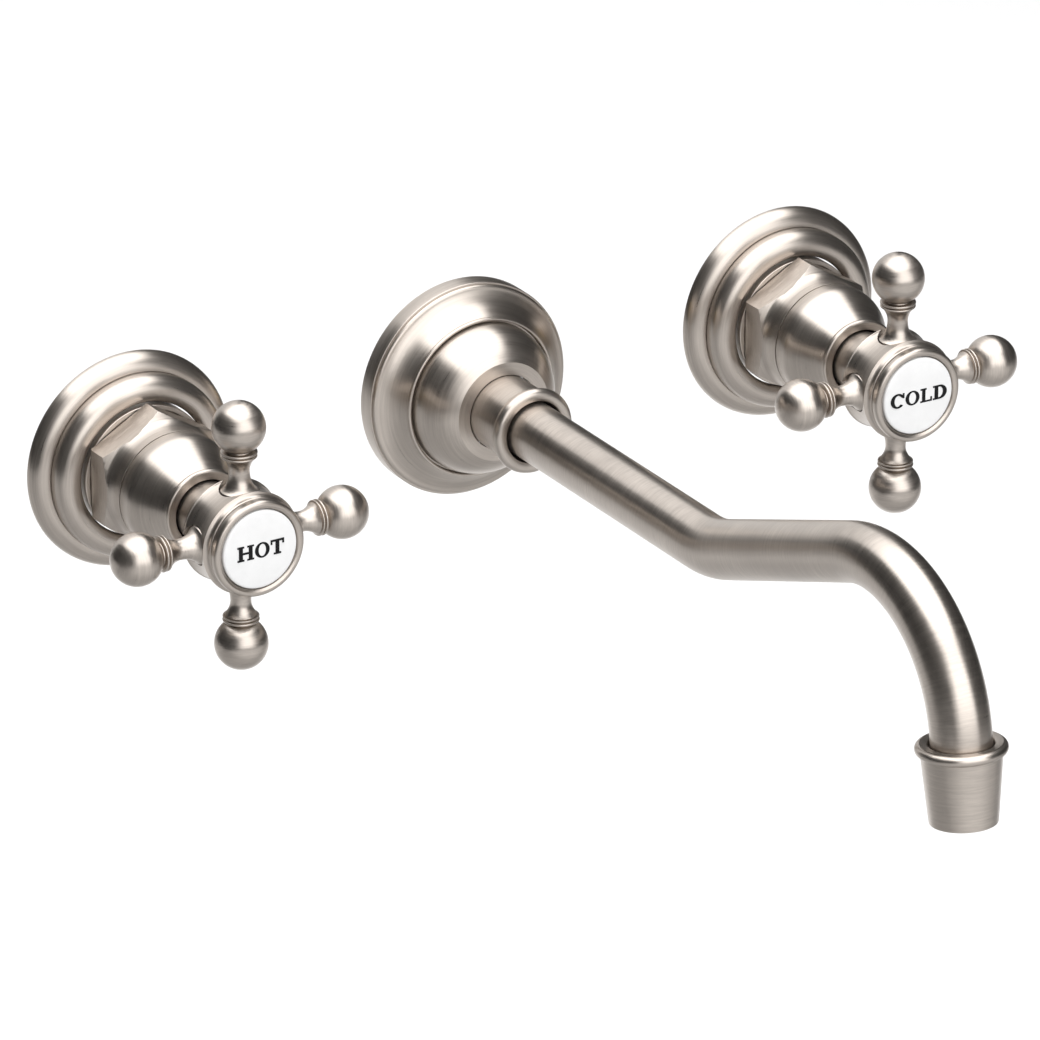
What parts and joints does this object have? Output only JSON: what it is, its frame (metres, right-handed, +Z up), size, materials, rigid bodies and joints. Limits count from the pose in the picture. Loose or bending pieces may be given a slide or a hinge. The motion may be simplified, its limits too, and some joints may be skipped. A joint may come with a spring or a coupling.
{
  "type": "wall mounted bath faucet",
  "caption": "Wall mounted faucet: hot and cold cross handles on stepped round flanges, and a long round gooseneck spout with a tapered outlet.",
  "frame": {"origin": "on the finished wall plane, where the spout's axis meets it, midway between the two handle axes", "axes": "+X right towards the cold handle as seen by the user, +Y into the wall, +Z up"},
  "size_m": [0.2784, 0.2806, 0.0754],
  "materials": {
    "brushed_nickel": "satin",
    "white_porcelain": "gloss",
    "bare_brass": "satin",
    "stainless_steel": "satin",
    "disc_ceramic": "satin",
    "black_rubber": "matte",
    "dark_plastic": "matte"
  },
  "bodies": {
    "root": {"hot_flange": "brushed_nickel", "hot_flange_gasket": "black_rubber", "hot_bonnet": "brushed_nickel", "hot_bonnet_bushing": "dark_plastic", "hot_valve_body": "bare_brass", "hot_seat_seal": "black_rubber", "hot_fixed_disc": "disc_ceramic", "hot_cartridge_body": "bare_brass", "hot_cartridge_o_ring": "black_rubber", "hot_cartridge_nut": "bare_brass", "cold_flange": "brushed_nickel", "cold_flange_gasket": "black_rubber", "cold_bonnet": "brushed_nickel", "cold_bonnet_bushing": "dark_plastic", "cold_valve_body": "bare_brass", "cold_seat_seal": "black_rubber", "cold_fixed_disc": "disc_ceramic", "cold_cartridge_body": "bare_brass", "cold_cartridge_o_ring": "black_rubber", "cold_cartridge_nut": "bare_brass", "spout_flange": "brushed_nickel", "spout_flange_gasket": "black_rubber", "spout_flange_ring": "black_rubber", "spout_nipple": "bare_brass", "spout_adapter": "bare_brass", "spout_o_ring": "black_rubber", "spout_collar": "brushed_nickel", "collar_set_screw": "stainless_steel", "spout_tube": "brushed_nickel", "outlet_cup": "brushed_nickel", "aerator_washer": "black_rubber", "aerator_housing": "dark_plastic", "flow_restrictor": "dark_plastic", "aerator_screen": "stainless_steel"},
    "hot_handle": {"hot_turning_disc": "disc_ceramic", "hot_stem": "bare_brass", "hot_hub": "brushed_nickel", "hot_handle_screw": "stainless_steel", "hot_bezel_ring": "brushed_nickel", "hot_button": "white_porcelain", "hot_arm_top": "brushed_nickel", "hot_arm_right": "brushed_nickel", "hot_arm_bottom": "brushed_nickel", "hot_arm_left": "brushed_nickel"},
    "cold_handle": {"cold_turning_disc": "disc_ceramic", "cold_stem": "bare_brass", "cold_hub": "brushed_nickel", "cold_handle_screw": "stainless_steel", "cold_bezel_ring": "brushed_nickel", "cold_button": "white_porcelain", "cold_arm_top": "brushed_nickel", "cold_arm_right": "brushed_nickel", "cold_arm_bottom": "brushed_nickel", "cold_arm_left": "brushed_nickel"}
  },
  "joints": [
    {"name": "hot_handle_turn", "type": "hinge", "parent": "root", "child": "hot_handle", "pos_m": [-0.1016, -0.0612, 0], "axis": [0, -1, 0], "range_deg": [0, 90]},
    {"name": "cold_handle_turn", "type": "hinge", "parent": "root", "child": "cold_handle", "pos_m": [0.1016, -0.0612, 0], "axis": [0, 1, 0], "range_deg": [0, 90]}
  ]
}
